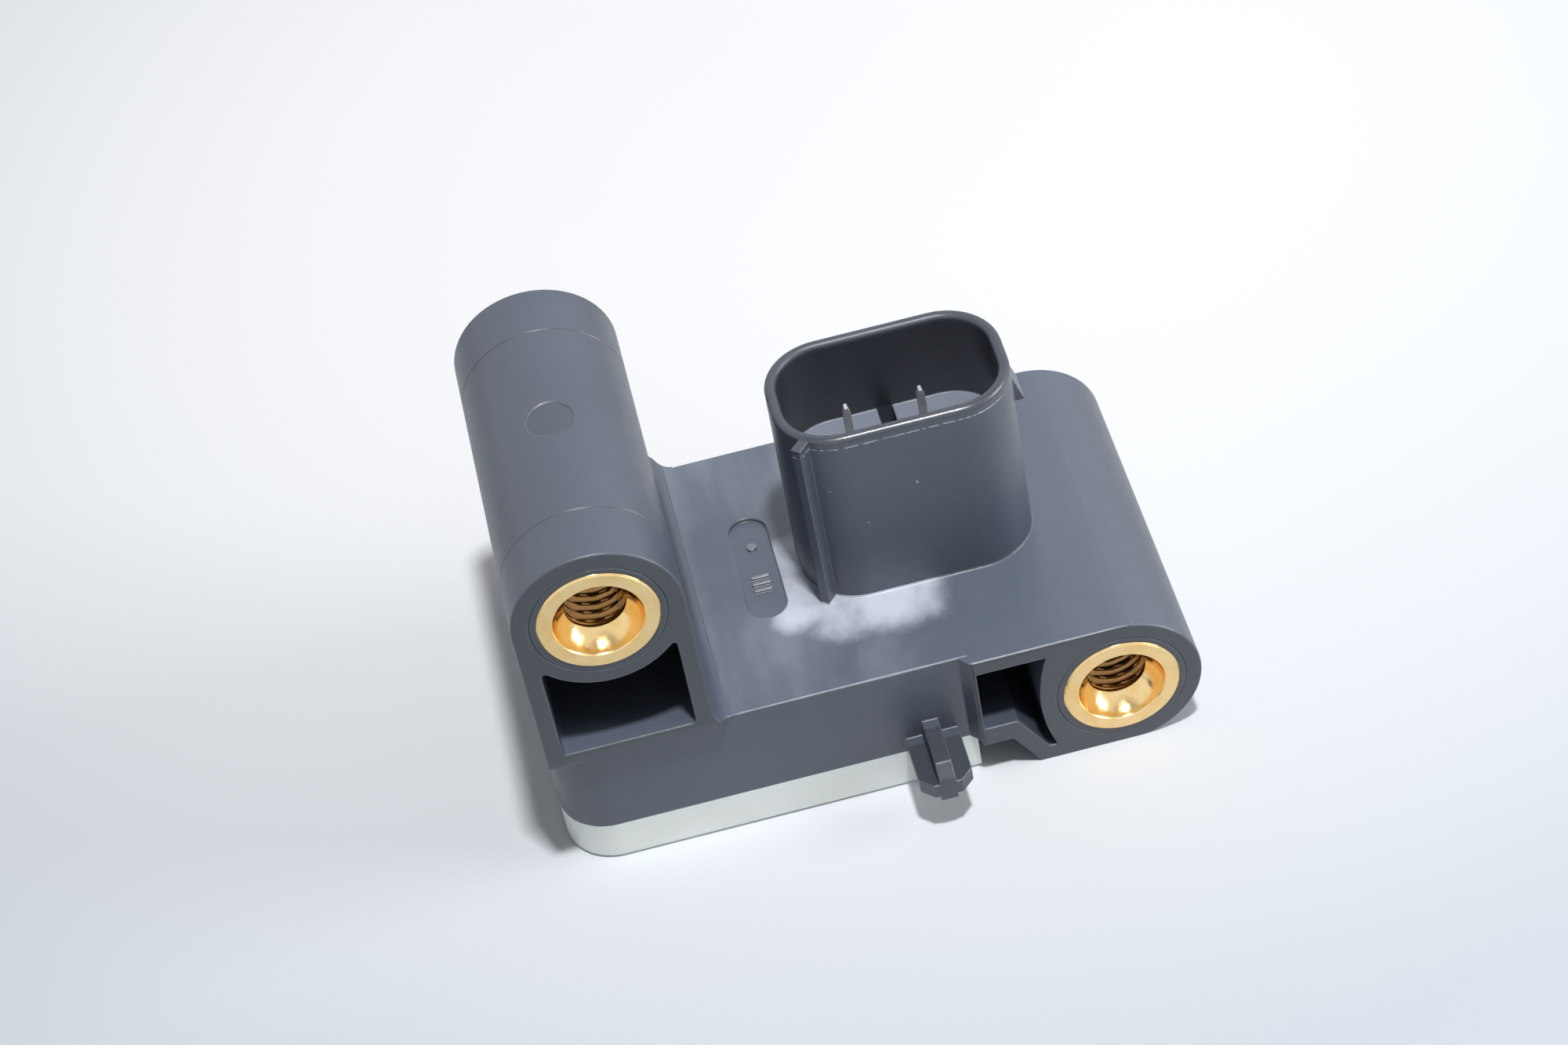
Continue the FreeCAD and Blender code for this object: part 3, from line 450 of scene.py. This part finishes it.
def table_surface():
    """Pale table with a painted pool of light: whitest behind the part, greying towards the edges of the
    view as painted light falloff.
    """
    s = Shader("table_surface")
    x, y, _ = s.axes()
    across = s.math("SUBTRACT", x, FLOOR_LIGHT_POOL_CENTRE[0])
    along = s.math("SUBTRACT", y, FLOOR_LIGHT_POOL_CENTRE[1])
    distance = s.math("SQRT", s.math("ADD", s.product(across, across), s.product(along, along)))
    fade = FLOOR_GREY_REACH - FLOOR_WHITE_REACH
    # Painted light falloff: the table greys with distance from the pool's centre.
    grey = s.math("DIVIDE", s.math("SUBTRACT", distance, FLOOR_WHITE_REACH), fade)
    grey = s.math("POWER", s.math("MINIMUM", s.math("MAXIMUM", grey, 0.0), 1.1), 1.7)
    base = s.mix(grey, (0.905, 0.91, 0.933), (0.6, 0.655, 0.705))
    mottle = s.span(s.noise(30 * MM, 2), 0.3, 0.7)
    base = s.mix(s.product(mottle, 0.03), base, (0.8, 0.82, 0.86))
    return s.finish(Base_Color=base, Roughness=0.75, Specular_IOR_Level=0.1,
                    Normal=s.bump(s.noise(0.6 * MM), 0.01 * MM, 0.2))


# Pieces

def thread_radius(turn, depth, mouth_end):
    """Radius of the thread's flank at a turn from 0 to 1 and a depth along the axis."""
    phase = (depth / THREAD_PITCH - turn) % 1.0
    groove = 1 - abs(2 * phase - 1)
    groove = min(max((groove - THREAD_CREST) / THREAD_FLANK, 0.0), 1.0)
    run_in = min((depth - mouth_end) / THREAD_RUN_IN, 1.0)
    return THREAD_CORE + THREAD_DEPTH * groove * run_in


def insert_rows():
    """Rows of (radius or None for the thread, depth), from the back rim round the outside into the bore."""
    rows = [(THREAD_CORE, INSERT_LENGTH), (INSERT_OUTER, INSERT_LENGTH), (INSERT_OUTER, GROOVE_SPAN[1]),
            (GROOVE_RADIUS, GROOVE_SPAN[1]), (GROOVE_RADIUS, GROOVE_SPAN[0]), (INSERT_OUTER, GROOVE_SPAN[0]),
            (INSERT_OUTER, INSERT_CHAMFER), (INSERT_OUTER - INSERT_CHAMFER, 0.0),
            (MOUTH_RADIUS + MOUTH_CHAMFER, 0.0), (MOUTH_RADIUS, MOUTH_CHAMFER)]
    for step in range(1, DISH_STEPS + 1):
        along = step / DISH_STEPS
        bulge = MOUTH_BULGE * 4 * along * (1 - along)
        radius = MOUTH_RADIUS + (THREAD_CORE - MOUTH_RADIUS) * along + bulge
        rows.append((radius, MOUTH_CHAMFER + (MOUTH_DEPTH - MOUTH_CHAMFER) * along))
    count = round((INSERT_LENGTH - MOUTH_DEPTH) / THREAD_PITCH * ROWS_PER_PITCH)
    for step in range(1, count):
        rows.append((None, MOUTH_DEPTH + (INSERT_LENGTH - MOUTH_DEPTH) * step / count))
    return rows


def insert_mesh():
    """Brass insert along +Y from its front face, with a right-hand thread cut into its bore."""
    rows = insert_rows()
    verts = []
    for radius, depth in rows:
        for step in range(ROUND_STEPS):
            turn = step / ROUND_STEPS
            here = thread_radius(turn, depth, MOUTH_DEPTH) if radius is None else radius
            verts.append((here * math.sin(2 * math.pi * turn), depth, here * math.cos(2 * math.pi * turn)))
    faces = []
    for row in range(len(rows)):
        following = (row + 1) % len(rows)
        for step in range(ROUND_STEPS):
            after = (step + 1) % ROUND_STEPS
            faces.append((row * ROUND_STEPS + step, row * ROUND_STEPS + after,
                          following * ROUND_STEPS + after, following * ROUND_STEPS + step))
    mesh = bpy.data.meshes.new("threaded_insert")
    mesh.from_pydata(verts, [], faces)
    mesh.shade_smooth()
    mesh.set_sharp_from_angle(angle=SHARP_ANGLE)
    return mesh


def place_inserts(material):
    """Puts a threaded insert in the place of each plain one."""
    mesh = insert_mesh()
    mesh.materials.append(material)
    for node in INSERT_NODES:
        low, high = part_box(node)
        piece = bpy.data.objects.new("threaded_" + node, mesh)
        piece.location = ((low[0] + high[0]) / 2, low[1], (low[2] + high[2]) / 2)
        bpy.context.scene.collection.objects.link(piece)
        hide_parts(node)
        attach(piece, "root")


def dress_nodes():
    """Gives each carried-over solid the material of its slot."""
    made = {
        "housing_plastic": housing_plastic(),
        "cover_plastic": cover_plastic(),
        "insert_brass": turned_brass(),
        "tinned_terminal": tinned_metal(),
        "solder": dull_solder(),
        "board_laminate": board_laminate(),
        "chip_epoxy": chip_epoxy(),
        "capacitor_ceramic": capacitor_ceramic(),
    }
    for part in frame["record"]["subparts"]:
        node = frame["nodes"][part["node"]]
        for index in range(len(node.material_slots)):
            node.material_slots[index].material = made[part["material_slot"]]
    place_inserts(made["insert_brass"])


# Studio

def add_table():
    """Level square table under the part."""
    mesh = bpy.data.meshes.new("table")
    mesh.from_pydata([(x, y, 0) for x, y in ((-1, -1), (1, -1), (1, 1), (-1, 1))], [], [(0, 1, 2, 3)])
    mesh.transform(Matrix.Diagonal((FLOOR_HALF, FLOOR_HALF, 1, 1)))
    mesh.materials.append(table_surface())
    table = bpy.data.objects.new("table", mesh)
    bpy.context.scene.collection.objects.link(table)


def add_lamp(name, place, size, power):
    """Square soft lamp aimed at the middle of the part."""
    lamp = bpy.data.lights.new(name, "AREA")
    lamp.size = size
    lamp.energy = power
    holder = bpy.data.objects.new(name, lamp)
    holder.location = place
    aim = LAMP_AIM - Vector(place)
    holder.rotation_euler = aim.to_track_quat("-Z", "Y").to_euler()
    bpy.context.scene.collection.objects.link(holder)


def set_world(light, zenith):
    """White surroundings, less so overhead, that give a dim light which rises from left to right."""
    world = bpy.data.worlds.new("studio")
    bpy.context.scene.world = world
    world.use_nodes = True
    tree = world.node_tree
    back = tree.nodes["Background"]
    path = tree.nodes.new("ShaderNodeLightPath")
    split = tree.nodes.new("ShaderNodeSeparateXYZ")
    tree.links.new(tree.nodes.new("ShaderNodeTexCoord").outputs["Generated"], split.inputs["Vector"])
    seen = smooth_span(tree, split.outputs["Z"], 0.75, 0.95, 1.0, zenith)
    strength = smooth_span(tree, split.outputs["X"], -0.8, 0.2, *light)
    for name in ("Is Camera Ray", "Is Glossy Ray", "Is Transmission Ray"):
        strength = smooth_span(tree, path.outputs[name], 0, 1, strength, seen)
    tree.links.new(strength, back.inputs["Strength"])
    back.inputs["Color"].default_value = (0.95, 0.975, 1.0, 1.0)


def add_camera():
    """Camera at the photograph's place, turned by its azimuth, elevation and roll."""
    ahead = Vector((math.sin(CAMERA_AZIMUTH) * math.cos(CAMERA_ELEVATION),
                    math.cos(CAMERA_AZIMUTH) * math.cos(CAMERA_ELEVATION), -math.sin(CAMERA_ELEVATION)))
    level = Vector((math.cos(CAMERA_AZIMUTH), -math.sin(CAMERA_AZIMUTH), 0))
    down = ahead.cross(level)
    right = level * math.cos(CAMERA_ROLL) - down * math.sin(CAMERA_ROLL)
    up = -(level * math.sin(CAMERA_ROLL) + down * math.cos(CAMERA_ROLL))
    turn = Matrix((right, up, -ahead)).transposed()
    camera = bpy.data.cameras.new("camera")
    camera.sensor_width = SENSOR_WIDTH
    camera.lens = FOCAL_PIXELS / IMAGE_WIDTH * SENSOR_WIDTH
    camera.clip_start = 1 * MM
    holder = bpy.data.objects.new("camera", camera)
    holder.matrix_world = Matrix.Translation(CAMERA_PLACE) @ turn.to_4x4()
    bpy.context.scene.collection.objects.link(holder)
    bpy.context.scene.camera = holder


dress_nodes()
add_table()
add_lamp("key", place=(0.11, -0.28, 1.2), size=0.085, power=11.1)
add_lamp("side", place=(0.48, -0.1, 0.22), size=0.25, power=1.3)
set_world(light=(0.08, 0.31), zenith=0.48)
add_camera()
bpy.context.scene.view_settings.view_transform = "Standard"
